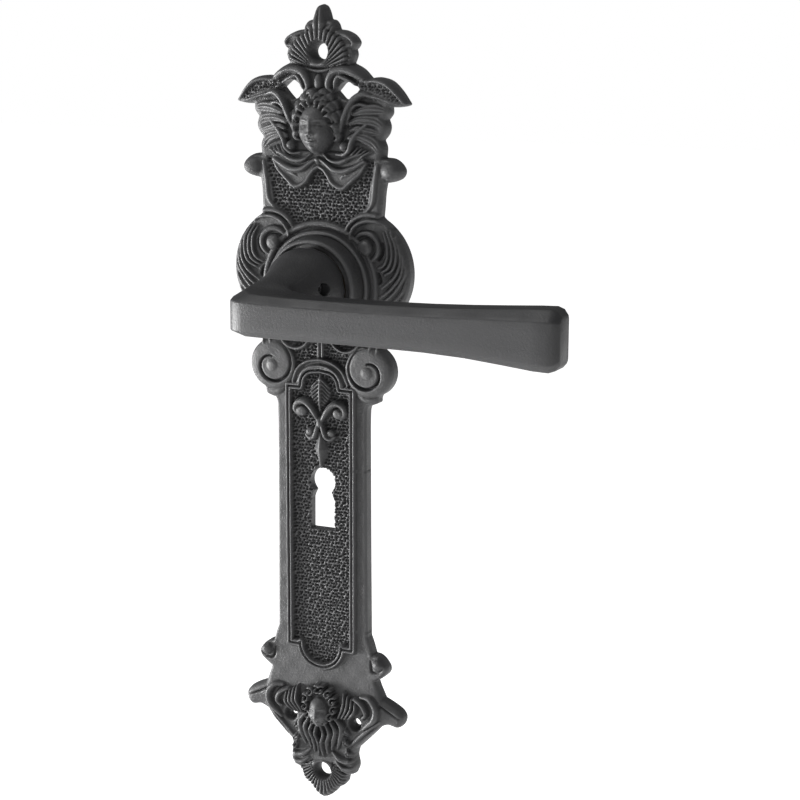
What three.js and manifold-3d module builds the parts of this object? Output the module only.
// A sprung door lever handle on a long ornamental backplate, cast in iron.
// Millimetres, +X towards the lever's tip, +Z up. The door face is Y = 0 and the handle stands out towards -Y.
// The origin is the spindle's axis on the door face. Distances "forward" are measured from the door towards -Y.
import * as THREE from "three";
import { mergeVertices } from "three/addons/utils/BufferGeometryUtils.js";
import Module from "manifold-3d";

const wasm = await Module();
wasm.setup();

// ---- Driving dimensions ----
const SLIVER = 0.3; // clear gap between two pieces that stand on each other
const RUNNING = 0.05; // radial clearance of a shaft that turns in its bush
const ROUND = 48; // facets of a turned piece

// Backplate
const PLATE_EDGE = 5; // depth of the outer rim
const PLATE_SKIN = 2.4; // thickness of the casting over its hollow back
const RIM = 2.6; // width of the rim that stands on the door
const CROWN_Z = 46; // top of the shield panel, foot of the crown
const SHIELD_WIDTH = 46.6; // shield panel, side to side
const FAN_RADIUS = 21.8; // round fans beside the collar
const FAN_X = 12.6;
const FAN_Z = 5.2;
const VOLUTE_RADIUS = 9.2; // volutes under the collar
const VOLUTE_X = 19;
const VOLUTE_Z = -29.6;
const PANEL_TOP = -36;
const PANEL_BOTTOM = -130;
const PANEL_WIDTH = 35.4; // long panel at its top
const PANEL_SPREAD = 0.4; // each side spreads by this much towards the foot
const MOULDING_HALF = 12.7; // centre line of the moulding round the stippled ground
const MOULDING_WIDTH = 2.6;
const MOULDING_RISE = 1.1;
const MOULDING_ARCH = 7.9; // half the width of the arch at the moulding's head
const MOULDING_ARCH_RISE = 6.7;
const MOULDING_DROP = 8.4; // radius of the dropped foot of the moulding
const SCREW_HOLE = 5.4;
const SCREW_SINK = 7.6; // mouth of the countersink
const SCREW_SINK_DEPTH = 2.4;
const TOP_SCREW_ABOVE_CROWN = 35;
const FOOT_SCREW_BELOW_PANEL = 52;
const THROUGH = 20; // forward reach of a cut that passes right through the casting
const ORNAMENT_SLOPE = 1.4; // how far under its top an ornament's rounded edge starts

// Keyhole
const KEYHOLE_DROP = 72; // spindle axis to the middle of the key's round
const KEY_ROUND = 10;
const KEY_SLOT_WIDTH = 9.5;
const KEY_NECK_WIDTH = 6.8;
const KEY_SLOT_LENGTH = 17.4;

// Collar and the pocket for the spring inside it
const COLLAR_RADIUS = 17.3;
const COLLAR_FORWARD = 13.4;
const COLLAR_LIP = 15.6; // inner radius of the lip
const COLLAR_STEP = 20.4; // moulding round the collar's foot
const COLLAR_STEP_FORWARD = 7;
const FRONT_WALL = 2.6;
const FLANGE_SEAT = 12; // forward distance of the seat of the bush's flange
const POCKET_RADIUS = 15.2;
const BUSH_WALL = 1.4;
const BUSH_FLANGE_RADIUS = 13.6;
const BUSH_FLANGE = 0.9;

// Lever
const SHANK_RADIUS = 8;
const FLATS_HALF = 6.5; // half the distance across the shank's two flats
const BELL_RADIUS = 14.6;
const NECK_RADIUS = 9.6;
const LEVER_FRONT = 52; // forward distance of the lever's front face
const LEVER_THICKNESS = 12.5;
const LEVER_REACH = 106; // spindle axis to the lever's tip
const LEVER_HEEL = 12; // spindle axis to the outside of the elbow
const BAR_TOP = 2.4; // the bar's top, over the spindle axis, where it is slimmest
const BAR_FOOT = -11.6;
const TIP_TOP = 5;
const TIP_FOOT = -15.2;
const TOP_CHAMFER = 2.6;
const LOW_CHAMFER = 1.8;
const BACK_CHAMFER = 1.2;
const TIP_ROUND = 3.8; // length of the rounding of the tip
const GRUB_FORWARD = 24;
const GRUB_ABOVE = 1.8; // the set screw lies this far over the spindle axis
const GRUB_RADIUS = 2;
const GRUB_LENGTH = 5;

// Spindle and its keeping
const SPINDLE = 8; // side of the square
const SPINDLE_BEHIND = 55; // reach behind the door face
const SPINDLE_INSIDE = 34; // reach inside the lever, forward of the door face
const SOCKET_SLACK = 0.15;
const WASHER = 0.8;
const CIRCLIP = 1.2;
const CIRCLIP_RADIUS = 10.2;
const GROOVE_RADIUS = 7.2;

// Return spring, drive plate and cover
const WIRE = 1.4;
const SPRING_MEAN_RADIUS = 11.7;
const SPRING_TURNS = 2.25;
const SPRING_PITCH = 1.7;
const DRIVE_PLATE = 1.3;
const DRIVE_RADIUS = 12.5;
const LUG_RADIUS = 14.6;
const LUG_HALF_ANGLE = 14;
const TURN = 45; // how far the lever turns down, in degrees
const PIN_RADIUS = 1;
const PIN_CIRCLE = 13.75;
const COVER = 1.2;
const COVER_RADIUS = 20;
const COVER_INSET = 0.2; // the cover lies this far inside the door face
const COVER_HOLE_SLACK = 0.75; // round the corners of the spindle
const COVER_SCREW_CIRCLE = 17.6;
const COVER_SCREW_HEAD = 1.7;
const COVER_SCREW_SHANK = 1.1;
const COVER_SCREW_LENGTH = 3.4;

// Forward distances of the stack inside the pocket, from the door towards the lever
const coverSeat = COVER_INSET + COVER + SLIVER;
const driveBack = coverSeat;
const driveFront = driveBack + DRIVE_PLATE;
const pocketFloor = FLANGE_SEAT - FRONT_WALL;
const washerFront = pocketFloor - 0.1;
const circlipFront = washerFront - WASHER - 0.1;
const springBack = driveFront + 0.2;
const bushRadius = SHANK_RADIUS + RUNNING;

// ---- Helpers ----
const rad = THREE.MathUtils.degToRad;

/** A closed geometry as a solid, with its faces out whichever way its profile ran. */
function solid(geometry) {
  const plain = (geometry.index ? geometry.toNonIndexed() : geometry).clone();
  plain.deleteAttribute("normal");
  plain.deleteAttribute("uv");
  const merged = mergeVertices(plain, 1e-4);
  const triVerts = new Uint32Array(merged.index.array);
  const make = () => {
    const vertProperties = merged.attributes.position.array;
    return new wasm.Manifold(new wasm.Mesh({ numProp: 3, vertProperties, triVerts }));
  };
  const made = make();
  if (made.volume() > 0) return made;
  triVerts.reverse();
  return make();
}

/** Several solids joined into one. */
const join = (...solids) => solids.reduce((sum, piece) => sum.add(piece));

/** A solid with others cut out of it. */
const cut = (body, ...tools) => tools.reduce((rest, tool) => rest.subtract(tool), body);

/** The outline in X and Z, between two forward distances. */
function slab(shape, back, front, segments = 6) {
  const flat = new THREE.ExtrudeGeometry(shape, {
    depth: front - back,
    bevelEnabled: false,
    curveSegments: segments,
  });
  return solid(flat.rotateX(Math.PI / 2).translate(0, -back, 0));
}

/** A slab whose front face is drawn in all round by a slope that starts the given distance under it. */
function dome(shape, back, front, slope, segments = 6) {
  const flat = new THREE.ExtrudeGeometry(shape, {
    depth: front - back,
    steps: 2,
    bevelEnabled: false,
    curveSegments: segments,
  });
  flat.computeBoundingBox();
  const middle = flat.boundingBox.getCenter(new THREE.Vector3());
  const size = flat.boundingBox.getSize(new THREE.Vector3());
  const place = flat.getAttribute("position");
  const shrink = 1 - (2 * slope) / Math.min(size.x, size.y);
  for (let i = 0; i < place.count; i++) {
    const layer = Math.round((2 * place.getZ(i)) / (front - back));
    if (layer === 1) place.setZ(i, front - back - slope);
    if (layer === 2) {
      place.setX(i, middle.x + (place.getX(i) - middle.x) * shrink);
      place.setY(i, middle.y + (place.getY(i) - middle.y) * shrink);
    }
  }
  return solid(flat.rotateX(Math.PI / 2).translate(0, -back, 0));
}

/** A piece turned about the spindle axis, from [radius, forward] points. */
function turned(points, facets = ROUND) {
  const profile = points.map(([radius, forward]) => new THREE.Vector2(radius, -forward));
  if (points[0][0] > 0) profile.push(profile[0].clone());
  return solid(new THREE.LatheGeometry(profile, facets));
}

/** A ring turned about the spindle axis. */
const ring = (inner, outer, back, front, facets = ROUND) =>
  turned([[inner, back], [outer, back], [outer, front], [inner, front]], facets);

/** A round bar along the spindle's direction. */
const rod = (radius, x, z, back, front, facets = 24) =>
  solid(new THREE.CylinderGeometry(radius, radius, front - back, facets).translate(x, -(front + back) / 2, z));

/** A closed outline through [x, z] points, mirrored for side -1. */
function outline(points, side = 1) {
  return new THREE.Shape(points.map(([x, z]) => new THREE.Vector2(side * x, z)));
}

/** A smooth closed outline through [x, z] points. */
function smooth(points, side = 1, steps = 3) {
  const through = points.map(([x, z]) => new THREE.Vector3(side * x, z, 0));
  const curve = new THREE.CatmullRomCurve3(through, true, "centripetal");
  return new THREE.Shape(curve.getPoints(points.length * steps).slice(0, -1).map((p) => new THREE.Vector2(p.x, p.y)));
}

/** An outline and its mirror image closed into one shape, from the points of its right half. */
const both = (points) => outline([...points, ...points.filter(([x]) => x > 0).reverse().map(([x, z]) => [-x, z])]);

const disc = (x, z, radius) => new THREE.Shape().absarc(x, z, radius, 0, 2 * Math.PI);
const sides = (make) => join(make(1), make(-1));
const polar = (radius, angle) => [radius * Math.cos(rad(angle)), radius * Math.sin(rad(angle))];

/** A closed body through rings of points that all have the same count. */
function loft(rings) {
  const count = rings[0].length;
  const positions = rings.flat().flatMap((p) => p.toArray());
  const index = [];
  for (let i = 0; i + 1 < rings.length; i++)
    for (let j = 0; j < count; j++) {
      const a = i * count + j;
      const b = i * count + ((j + 1) % count);
      index.push(a, b, a + count, b, b + count, a + count);
    }
  const last = (rings.length - 1) * count;
  for (let j = 1; j + 1 < count; j++) {
    index.push(0, j + 1, j);
    index.push(last, last + j, last + j + 1);
  }
  const geometry = new THREE.BufferGeometry();
  geometry.setAttribute("position", new THREE.Float32BufferAttribute(positions, 3));
  return solid(geometry.setIndex(index));
}

// ---- Backplate ----
/** Points given from the foot of the crown, or from the foot of the long panel. */
const crownAt = (points) => points.map(([x, z]) => [x, CROWN_Z + z]);
const footAt = (points) => points.map(([x, z]) => [x, PANEL_BOTTOM + z]);
const topScrew = CROWN_Z + TOP_SCREW_ABOVE_CROWN;
const footScrew = PANEL_BOTTOM - FOOT_SCREW_BELOW_PANEL;

/** The finial, the scrolled arch and the wings, above the shield panel. */
function crown() {
  const finial = both(crownAt([
    [0, 51], [1.5, 50.2], [3.2, 45.9], [5.9, 44.2], [6.5, 42.5], [9.5, 41.9], [12.4, 40.4], [14, 38.3], [12.8, 36],
    [12.8, 33.6], [11.9, 31.1], [12, 27], [0, 22],
  ]));
  const arch = (side) => smooth(crownAt([
    [0, 29.5], [7, 29.6], [12, 30.6], [15.6, 29.1], [18.8, 26.1], [20, 22.5], [18, 17.5], [14, 16], [8, 14], [0, 13],
  ]), side, 2);
  const wing = (side) => smooth(crownAt([
    [16.1, 24.3], [18.9, 25.9], [21.7, 26.6], [26.2, 25.5], [29.7, 22.5], [32.2, 19], [33, 17.4], [30, 16.7],
    [26.3, 16.6], [26.2, 14.1], [24.8, 12.3], [25.4, 10], [25, 7.8], [23.2, 5], [23.8, 3.1], [23.5, -1.2], [10.1, -3.2], [9.1, 12.1],
  ]), side, 1);
  const curl = (side) => smooth(crownAt([
    [23.2, -0.3], [27.4, -1], [30, -2.8], [31.3, -5], [30.4, -7.3], [27.8, -8.7], [24.1, -9.4], [19.2, -6.3],
  ]), side, 2);
  const swag = both(crownAt([[0, -1], [6, -8.5], [10, -9], [14, -7], [20, -4], [22, 8], [12, 14], [0, 14]]));
  const hair = solid(
    new THREE.SphereGeometry(1, 16, 10).scale(8.6, 5.6, 10.4).translate(0, -6.4, CROWN_Z + 11.4),
  );
  const face = solid(
    new THREE.SphereGeometry(1, 16, 10).scale(6.6, 5.6, 9.4).translate(0, -7.6, CROWN_Z + 9.4),
  );
  const body = join(
    dome(finial, 0, 6.2, ORNAMENT_SLOPE),
    sides((side) => dome(arch(side), 0, 7.2, ORNAMENT_SLOPE)),
    sides((side) => dome(wing(side), 0, 6.8, ORNAMENT_SLOPE)),
    sides((side) => dome(curl(side), 0, 6.4, ORNAMENT_SLOPE)),
    dome(swag, 0, 6.6, 1),
    hair,
    face,
  );
  const pierced = (side) => slab(smooth(crownAt([[5.9, 21.6], [8.2, 24.2], [10.3, 25.6], [12.6, 24.8], [15.1, 22.6], [13, 20.2], [11, 18.2], [8.4, 19]]), side, 1), -1, THROUGH);
  const door = solid(new THREE.BoxGeometry(200, 20, 300).translate(0, 10, 0));
  return cut(body, sides(pierced), door);
}

/** The shield panel, the fans, the collar and the volutes. */
function middle() {
  const half = SHIELD_WIDTH / 2;
  const shield = both([[0, CROWN_Z], [half + 0.7, CROWN_Z], [half + 0.7, 36.8], [half, 29], [half - 0.4, 25],
    [half - 2, 18], [0, 16]]);
  const rim = (side) => outline([[half - 0.2, 39.3], [half - 0.9, 28.3], [half - 1.4, 22.3], [half - 3.7, 22.1],
    [half - 3.6, 28.1], [half - 2.7, 39.1]], side);
  const fan = (side) => disc(side * FAN_X, FAN_Z, FAN_RADIUS);
  const eye = (side) => disc(side * (FAN_X + 5.4), FAN_Z + 9.2, 3);
  const waist = both([[0, 0], [27, -4], [25.9, -12.2], [23.6, -17.4], [23.3, -24], [0, -30]]);
  const volute = (side) => disc(side * VOLUTE_X, VOLUTE_Z, VOLUTE_RADIUS);
  const knob = (side) => disc(side * VOLUTE_X, VOLUTE_Z, VOLUTE_RADIUS / 3.4);
  return join(
    slab(shield, 0, PLATE_EDGE),
    sides((side) => slab(rim(side), 0, PLATE_EDGE + MOULDING_RISE)),
    sides((side) => dome(fan(side), 0, 6, ORNAMENT_SLOPE, 10)),
    sides((side) => dome(eye(side), 0, 7.4, 1)),
    slab(waist, 0, PLATE_EDGE),
    sides((side) => dome(volute(side), 0, 6.2, ORNAMENT_SLOPE, 8)),
    sides((side) => dome(knob(side), 0, 7, 0.6)),
  );
}

/** The long panel with its moulding and its spray of leaves. */
function longPanel() {
  const top = PANEL_WIDTH / 2;
  const foot = top + PANEL_SPREAD;
  const body = both([[0, PANEL_TOP + 8], [top + 4.6, PANEL_TOP], [top + 4.4, PANEL_TOP - 4.6], [top + 0.8, PANEL_TOP - 5.9],
    [top, PANEL_TOP - 7], [foot, PANEL_BOTTOM + 2.4], [foot + 1.6, PANEL_BOTTOM - 3.7], [foot + 1.5, PANEL_BOTTOM - 17.6],
    [0, PANEL_BOTTOM - 22]]);
  const frame = (offset) => {
    const half = MOULDING_HALF + offset;
    const arch = MOULDING_ARCH + offset;
    const drop = MOULDING_DROP + offset;
    const head = PANEL_TOP - 0.9 + offset;
    const low = PANEL_BOTTOM - 3 - offset;
    const shape = new THREE.Shape();
    shape.moveTo(half, low);
    shape.lineTo(half, head);
    shape.lineTo(arch, head);
    shape.absellipse(0, head, arch, MOULDING_ARCH_RISE + offset, 0, Math.PI);
    shape.lineTo(-half, head);
    shape.lineTo(-half, low);
    shape.lineTo(-drop, low);
    shape.absarc(0, low, drop, Math.PI, 2 * Math.PI);
    return shape;
  };
  const moulding = cut(
    slab(frame(MOULDING_WIDTH / 2), 0, PLATE_EDGE + MOULDING_RISE, 10),
    slab(frame(-MOULDING_WIDTH / 2), -1, PLATE_EDGE + MOULDING_RISE + 1, 10),
  );
  const spray = (side) => smooth([
    [0, -31], [3.6, -34.5], [4.8, -39], [2.4, -42.4], [7.4, -41.6], [10.4, -45], [8, -48.4], [4.6, -47], [2, -49],
    [5.6, -52], [5.6, -55.4], [2.2, -55], [2, -59], [0, -65],
  ], side, 2);
  return join(slab(body, 0, PLATE_EDGE), moulding, sides((side) => slab(spray(side), 1, PLATE_EDGE + 1.6)));
}

/** The shoulders, leaves, mask and fluted finial under the long panel. */
function foot() {
  const body = both(footAt([
    [0, -3], [19.4, -3.2], [19.8, -8.4], [20.7, -14.9], [23.3, -21.3], [22.6, -30.6], [12.9, -40.9], [0, -44.2],
  ]));
  const ear = (side) => smooth(footAt([
    [16, -1], [20.3, -4], [23.8, -5.8], [26.1, -8.7], [25.3, -11.2], [21.3, -14.4], [14, -16],
  ]), side, 2);
  const leaf = (side) => smooth(footAt([
    [12, -17], [22.7, -17.5], [24.2, -20.6], [28.2, -22.6], [31.2, -24.5], [32.5, -26.6], [31.8, -29.5], [29.8, -31],
    [26.2, -30.4], [23.3, -31.4], [17.6, -37.5], [13.6, -41.6], [8, -38],
  ]), side, 2);
  const tail = both(footAt([
    [0, -63], [2, -62.3], [4, -60.5], [5.8, -58.5], [7.5, -57.4], [9, -55.5], [9.8, -52.9], [12.6, -51.8],
    [13.6, -48.5], [13, -44.5], [13.3, -42.1], [9.6, -34.3], [0, -30.3],
  ]));
  const brow = solid(
    new THREE.SphereGeometry(1, 14, 9).scale(8.2, 5, 8.8).translate(0, -5, PANEL_BOTTOM - 27.4),
  );
  const mask = solid(
    new THREE.SphereGeometry(1, 14, 9).scale(4.8, 5, 6.8).translate(0, -6.4, PANEL_BOTTOM - 28),
  );
  const hollow = (side) => rod(1.5, side * 13.2, PANEL_BOTTOM - 31.6, -1, THROUGH, 18);
  const door = solid(new THREE.BoxGeometry(200, 20, 500).translate(0, 10, 0));
  const mass = join(
    slab(body, 0, PLATE_EDGE),
    sides((side) => dome(ear(side), 0, 6.2, ORNAMENT_SLOPE)),
    sides((side) => dome(leaf(side), 0, 6.4, ORNAMENT_SLOPE)),
    dome(tail, 0, 6, ORNAMENT_SLOPE),
    brow,
    mask,
  );
  return cut(mass, sides(hollow), door);
}

/** The hollow back: shallow pockets that leave the rim, the posts and the walls round the holes. */
function hollows() {
  const depth = PLATE_EDGE - PLATE_SKIN;
  const half = SHIELD_WIDTH / 2 - RIM;
  const upper = both([[0, CROWN_Z - 2], [half, CROWN_Z - 2], [half - 1, 27], [0, 27]]);
  const side = PANEL_WIDTH / 2 - RIM;
  const keyWall = KEY_ROUND / 2 + 2;
  const above = both([[0, VOLUTE_Z + 3], [side, VOLUTE_Z + 3], [side, -KEYHOLE_DROP + keyWall], [0, -KEYHOLE_DROP + keyWall]]);
  const under = -KEYHOLE_DROP - KEY_SLOT_LENGTH - 3;
  const below = both([[0, under], [side, under], [side, PANEL_BOTTOM - 14], [0, PANEL_BOTTOM - 14]]);
  const beside = (s) => outline([[keyWall, -KEYHOLE_DROP + 4], [side, -KEYHOLE_DROP + 4], [side, under + 2],
    [keyWall, under + 2]], s);
  return join(
    slab(upper, -1, depth),
    slab(above, -1, depth),
    slab(below, -1, depth),
    sides((s) => slab(beside(s), -1, depth)),
  );
}

/** The keyhole's round, neck and slot. */
function keyhole() {
  const z = -KEYHOLE_DROP;
  const slot = KEY_SLOT_WIDTH / 2;
  const neck = KEY_NECK_WIDTH / 2;
  return join(
    slab(disc(0, z, KEY_ROUND / 2), -1, THROUGH, 12),
    slab(both([[0, z], [neck, z], [neck, z - 6], [0, z - 6]]), -1, THROUGH),
    slab(both([[0, z - 5], [slot, z - 5], [slot, z - KEY_SLOT_LENGTH], [0, z - KEY_SLOT_LENGTH]]), -1, THROUGH),
  );
}

/** A countersunk screw hole right through the casting. */
function screwHole(z) {
  const through = rod(SCREW_HOLE / 2, 0, z, -1, THROUGH);
  const mouth = new THREE.CylinderGeometry(SCREW_HOLE / 2, SCREW_SINK / 2, SCREW_SINK_DEPTH, 24);
  const sink = solid(mouth.translate(0, -PLATE_EDGE, z));
  const clear = rod(SCREW_SINK / 2, 0, z, PLATE_EDGE + SCREW_SINK_DEPTH / 2, THROUGH);
  return join(through, sink, clear);
}

/** The places of the three cover screws, as [x, z]. */
const coverScrews = [90, 210, 330].map((angle) => polar(COVER_SCREW_CIRCLE, angle));

/** Where the lug stands at rest, and where the two stop pins and the anchor pin stand, in degrees from +X. */
const lugAngle = 270;
const pinSweep = THREE.MathUtils.radToDeg((PIN_RADIUS + 0.12) / PIN_CIRCLE);
const pinPlaces = {
  stop_pin_rest: lugAngle + LUG_HALF_ANGLE + pinSweep,
  stop_pin_down: lugAngle - LUG_HALF_ANGLE - TURN - pinSweep,
  spring_anchor_pin: 90,
};
const pinSeat = pocketFloor + 1.4;

function backplate() {
  const collar = join(
    turned([[0, 0], [COLLAR_STEP, 0], [COLLAR_STEP, COLLAR_STEP_FORWARD - 0.8], [COLLAR_STEP - 0.8, COLLAR_STEP_FORWARD],
      [COLLAR_RADIUS, COLLAR_STEP_FORWARD], [COLLAR_RADIUS, COLLAR_FORWARD - 0.8],
      [COLLAR_RADIUS - 0.8, COLLAR_FORWARD], [0, COLLAR_FORWARD]]),
  );
  const pocket = join(
    ring(0, COVER_RADIUS + SLIVER, -1, coverSeat),
    ring(0, POCKET_RADIUS, -1, pocketFloor),
    ring(0, bushRadius + BUSH_WALL + 0.1, -1, THROUGH),
    ring(0, BUSH_FLANGE_RADIUS + 0.2, FLANGE_SEAT, THROUGH),
    ring(0, COLLAR_LIP, FLANGE_SEAT + BUSH_FLANGE + 0.2, THROUGH),
  );
  const pinHoles = Object.values(pinPlaces).map((angle) => {
    const [x, z] = polar(PIN_CIRCLE, angle);
    return rod(PIN_RADIUS + 0.05, x, z, pocketFloor - 1, pinSeat + 0.1, 20);
  });
  const tapped = coverScrews.map(([x, z]) => rod(COVER_SCREW_SHANK + 0.1, x, z, 1, COVER_SCREW_LENGTH + 0.6, 16));
  const mass = join(crown(), middle(), longPanel(), foot(), collar);
  return cut(mass, hollows(), keyhole(), screwHole(topScrew), screwHole(footScrew), pocket, ...pinHoles, ...tapped);
}

// ---- Lever ----
/** The bar's eight-sided section at x: a front face, two chamfers, top, bottom and back. */
function barSection(x, top, foot, back, front, grown = 1) {
  const over = TOP_CHAMFER * grown;
  const under = LOW_CHAMFER * grown;
  return [
    [-front, foot + under], [-front, top - over], [-front + over, top], [-back - BACK_CHAMFER, top],
    [-back, top - BACK_CHAMFER], [-back, foot + BACK_CHAMFER], [-back - BACK_CHAMFER, foot], [-front + under, foot],
  ].map(([y, z]) => new THREE.Vector3(x, y, z));
}

function lever() {
  const back = LEVER_FRONT - LEVER_THICKNESS;
  const heel = -LEVER_HEEL;
  const barMiddle = (BAR_TOP + BAR_FOOT) / 2;
  const bar = loft([
    barSection(heel, BAR_TOP - 1.2, BAR_FOOT + 1.6, back + 0.5, LEVER_FRONT - 6),
    barSection(heel + 1, BAR_TOP + 1.2, BAR_FOOT, back, LEVER_FRONT - 3),
    barSection(heel + 3.4, BAR_TOP + 0.8, BAR_FOOT, back, LEVER_FRONT),
    barSection(0, BAR_TOP + 0.3, BAR_FOOT, back, LEVER_FRONT),
    barSection(LEVER_REACH * 0.2, BAR_TOP, BAR_FOOT, back, LEVER_FRONT),
    barSection(LEVER_REACH * 0.45, BAR_TOP + 0.1, BAR_FOOT - 0.1, back, LEVER_FRONT),
    barSection(LEVER_REACH * 0.7, BAR_TOP + 1, BAR_FOOT - 1, back, LEVER_FRONT, 1.1),
    barSection(LEVER_REACH * 0.9, TIP_TOP - 0.3, TIP_FOOT + 0.4, back, LEVER_FRONT, 1.4),
    barSection(LEVER_REACH - TIP_ROUND, TIP_TOP, TIP_FOOT, back, LEVER_FRONT, 1.5),
    barSection(LEVER_REACH, TIP_TOP - TOP_CHAMFER, TIP_FOOT + TOP_CHAMFER, back + 1.8, LEVER_FRONT - TOP_CHAMFER, 0.6),
  ]);
  const oval = (forward, x, z, across, up) =>
    Array.from({ length: 32 }, (_, i) => {
      const a = (i / 32) * 2 * Math.PI;
      return new THREE.Vector3(x + across * Math.cos(a), -forward, z + up * Math.sin(a));
    });
  const bellFront = FLANGE_SEAT + BUSH_FLANGE + 16;
  const neck = loft([
    oval(bellFront - 4, 0, 0, NECK_RADIUS + 0.4, NECK_RADIUS + 0.4),
    oval(bellFront, -0.4, -0.4, NECK_RADIUS, NECK_RADIUS),
    oval(bellFront + 5, -1.4, -1.6, NECK_RADIUS, NECK_RADIUS - 0.4),
    oval(back, -2, -3.4, NECK_RADIUS, NECK_RADIUS - 1.6),
    oval(back + 4, -2.4, barMiddle, NECK_RADIUS - 1, NECK_RADIUS - 3.4),
  ]);
  const bellBack = FLANGE_SEAT + BUSH_FLANGE + 2 * SLIVER;
  const bell = turned([
    [0, bellBack], [BELL_RADIUS - 0.8, bellBack], [BELL_RADIUS, bellBack + 0.8], [BELL_RADIUS, bellBack + 3.5],
    [BELL_RADIUS - 0.8, bellBack + 6], [BELL_RADIUS - 2.8, bellBack + 9.5], [NECK_RADIUS + 0.5, bellBack + 13],
    [NECK_RADIUS, bellFront], [0, bellFront],
  ]);
  const groove = [circlipFront - CIRCLIP - 0.1, circlipFront + 0.1];
  const shank = turned([
    [0, driveBack], [SHANK_RADIUS, driveBack], [SHANK_RADIUS, groove[0]], [GROOVE_RADIUS, groove[0]],
    [GROOVE_RADIUS, groove[1]], [SHANK_RADIUS, groove[1]], [SHANK_RADIUS, bellBack + 1], [0, bellBack + 1],
  ]);
  const flat = (side) => solid(
    new THREE.BoxGeometry(4, driveFront - driveBack + 2.1, 30)
      .translate(side * (FLATS_HALF + 2), -(driveFront + driveBack - 2) / 2, 0),
  );
  const side = SPINDLE + 2 * SOCKET_SLACK;
  const socketEnd = SPINDLE_INSIDE + SLIVER;
  const socket = solid(new THREE.BoxGeometry(side, socketEnd, side).translate(0, -socketEnd / 2, 0));
  const grubHole = solid(
    new THREE.CylinderGeometry(GRUB_RADIUS + 0.1, GRUB_RADIUS + 0.1, 20, 24)
      .rotateZ(Math.PI / 2).translate(10 + SPINDLE / 4, -GRUB_FORWARD, GRUB_ABOVE),
  );
  return cut(join(bar, neck, bell, shank), flat(1), flat(-1), socket, grubHole);
}

/** The socket set screw that bears on the spindle, with its hexagon socket. */
function grubScrew() {
  const start = SPINDLE / 2 + SLIVER;
  const body = new THREE.CylinderGeometry(GRUB_RADIUS, GRUB_RADIUS, GRUB_LENGTH, 24).rotateZ(Math.PI / 2);
  const key = new THREE.CylinderGeometry(1, 1, 2.4, 6).rotateZ(Math.PI / 2);
  return cut(
    solid(body.translate(start + GRUB_LENGTH / 2, -GRUB_FORWARD, GRUB_ABOVE)),
    solid(key.translate(start + GRUB_LENGTH, -GRUB_FORWARD, GRUB_ABOVE)),
  );
}

/** The spindle, with a small chamfer at its far end. */
function spindle() {
  const half = SPINDLE / 2;
  const square = (y, h) => [[-h, -h], [h, -h], [h, h], [-h, h]].map(([x, z]) => new THREE.Vector3(x, y, z));
  return loft([
    square(-SPINDLE_INSIDE, half), square(SPINDLE_BEHIND - 1, half), square(SPINDLE_BEHIND, half - 1),
  ]);
}

// ---- Pieces in the pocket ----
function bearingBush() {
  return join(
    ring(bushRadius, bushRadius + BUSH_WALL, pocketFloor, FLANGE_SEAT + 0.5),
    ring(bushRadius, BUSH_FLANGE_RADIUS, FLANGE_SEAT + 0.1, FLANGE_SEAT + BUSH_FLANGE + 0.1),
  );
}

function circlip() {
  const inner = GROOVE_RADIUS + 0.1;
  const jaw = slab(outline([[0, 0], [-4.2, 20], [4.2, 20]]), circlipFront - 3, circlipFront + 3);
  return cut(ring(inner, CIRCLIP_RADIUS, circlipFront - CIRCLIP, circlipFront), jaw);
}

/** The plate keyed to the shank's flats: its lug meets the stop pins and its slot takes the spring's end. */
function drivePlate() {
  const lug = new THREE.Shape();
  lug.absarc(0, 0, LUG_RADIUS, rad(lugAngle - LUG_HALF_ANGLE), rad(lugAngle + LUG_HALF_ANGLE));
  lug.lineTo(0, 0);
  const shankHole = ring(0, SHANK_RADIUS + 0.1, driveBack - 1, driveFront + 1);
  const beside = (side) => solid(
    new THREE.BoxGeometry(6, 6, 30).translate(side * (FLATS_HALF + 0.1 + 3), -driveFront, 0),
  );
  const flats = cut(shankHole, beside(1), beside(-1));
  const [x, z] = polar(SPRING_MEAN_RADIUS, springEnds.moving);
  const slot = rod(WIRE / 2 + 0.25, x, z, driveBack - 1, driveFront + 1, 16);
  const body = join(ring(0, DRIVE_RADIUS, driveBack + 0.1, driveFront), slab(lug, driveBack + 0.1, driveFront, 8));
  return cut(body, flats, slot);
}

/** The angles of the spring's two ends, in degrees from +X. */
const springEnds = { fixed: 90 + 9, moving: 90 + 9 + SPRING_TURNS * 360 };

/** The torsion spring: a coil with one end hooked on the anchor pin and the other in the drive plate. */
function returnSpring() {
  const start = springBack + WIRE / 2;
  const steps = Math.round(SPRING_TURNS * 16);
  const points = [];
  const [hookX, hookZ] = polar(SPRING_MEAN_RADIUS + 2.2, springEnds.fixed + 4);
  const front = start + SPRING_TURNS * SPRING_PITCH;
  points.push(new THREE.Vector3(hookX, -front, hookZ));
  for (let i = 0; i <= steps; i++) {
    const share = i / steps;
    const [x, z] = polar(SPRING_MEAN_RADIUS, springEnds.fixed + share * SPRING_TURNS * 360);
    points.push(new THREE.Vector3(x, -(front - share * SPRING_TURNS * SPRING_PITCH), z));
  }
  const path = new THREE.CatmullRomCurve3(points, false, "centripetal");
  const wire = new THREE.Shape().absarc(0, 0, WIRE / 2, 0, 2 * Math.PI);
  const coil = new THREE.ExtrudeGeometry(wire, {
    steps: steps + 4,
    curveSegments: 4,
    extrudePath: path,
    bevelEnabled: false,
  });
  return solid(coil);
}

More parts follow.
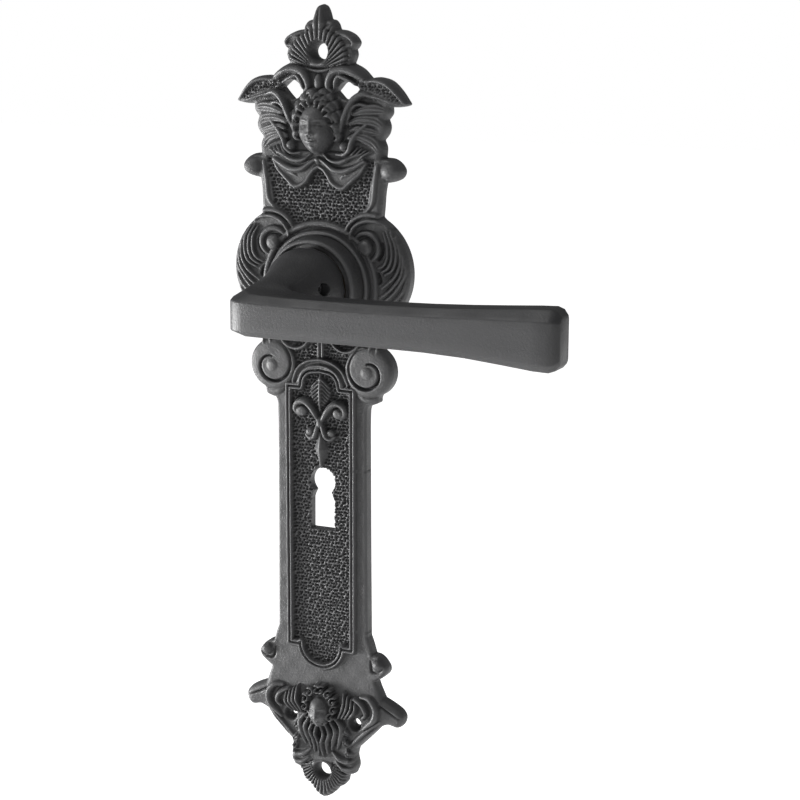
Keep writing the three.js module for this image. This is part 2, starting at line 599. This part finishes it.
function springCover() {
  const screws = coverScrews.map(([x, z]) => rod(COVER_SCREW_SHANK + 0.2, x, z, -1, 5, 16));
  const heads = coverScrews.map(([x, z]) => rod(COVER_SCREW_HEAD + 0.2, x, z, -1, COVER_INSET + 0.6, 20));
  return cut(
    ring(SPINDLE * Math.SQRT1_2 + COVER_HOLE_SLACK, COVER_RADIUS, COVER_INSET, COVER_INSET + COVER),
    ...screws,
    ...heads,
  );
}

function coverScrew([x, z]) {
  const slot = solid(new THREE.BoxGeometry(2 * COVER_SCREW_HEAD + 1, 0.6, 0.5).translate(x, 0, z));
  return cut(
    join(rod(COVER_SCREW_HEAD, x, z, 0.1, COVER_INSET + 0.5, 20), rod(COVER_SCREW_SHANK, x, z, 0.3, COVER_SCREW_LENGTH, 16)),
    slot,
  );
}

function waveWasher() {
  const forward = FLANGE_SEAT + BUSH_FLANGE + 0.1;
  return ring(SHANK_RADIUS + 0.3, SHANK_RADIUS + 3, forward + 0.1, forward + 0.35);
}

// ---- The assembly ----
const finishes = {
  iron: { color: 0x2b2b2c, roughness: 0.75, metalness: 0.2 },
  steel: { color: 0x8d9094, roughness: 0.35, metalness: 1 },
  zinc: { color: 0xa9acb0, roughness: 0.4, metalness: 1 },
  bronze: { color: 0x6e5a3c, roughness: 0.5, metalness: 1 },
};

/** A solid as a named mesh with its own finish. */
function piece(name, made, finish) {
  const { vertProperties, triVerts, numProp } = made.getMesh();
  const plain = new THREE.BufferGeometry();
  const data = new THREE.InterleavedBuffer(vertProperties, numProp);
  plain.setAttribute("position", new THREE.InterleavedBufferAttribute(data, 3, 0));
  plain.setIndex(new THREE.BufferAttribute(triVerts, 1));
  const geometry = plain.toNonIndexed();
  geometry.computeVertexNormals();
  const mesh = new THREE.Mesh(geometry, new THREE.MeshStandardMaterial(finishes[finish]));
  mesh.name = name;
  return mesh;
}

const plate = new THREE.Group();
plate.add(
  piece("backplate", backplate(), "iron"),
  piece("bearing_bush", bearingBush(), "bronze"),
  piece("wave_washer", waveWasher(), "steel"),
  piece("thrust_washer", ring(SHANK_RADIUS + 0.2, CIRCLIP_RADIUS + 0.4, washerFront - WASHER, washerFront), "steel"),
  piece("spring_cover", springCover(), "zinc"),
);
for (const [name, angle] of Object.entries(pinPlaces)) {
  const [x, z] = polar(PIN_CIRCLE, angle);
  plate.add(piece(name, rod(PIN_RADIUS, x, z, driveBack + 0.1, pinSeat, 20), "steel"));
}
coverScrews.forEach((place, i) => plate.add(piece(`cover_screw_${i + 1}`, coverScrew(place), "zinc")));

const handle = new THREE.Group();
handle.add(
  piece("lever_handle", lever(), "iron"),
  piece("grub_screw", grubScrew(), "steel"),
  piece("spindle", spindle(), "zinc"),
  piece("retaining_circlip", circlip(), "steel"),
  piece("drive_plate", drivePlate(), "zinc"),
  piece("return_spring", returnSpring(), "steel"),
);

const assembly = new THREE.Group();
assembly.add(plate, handle);
export default assembly;
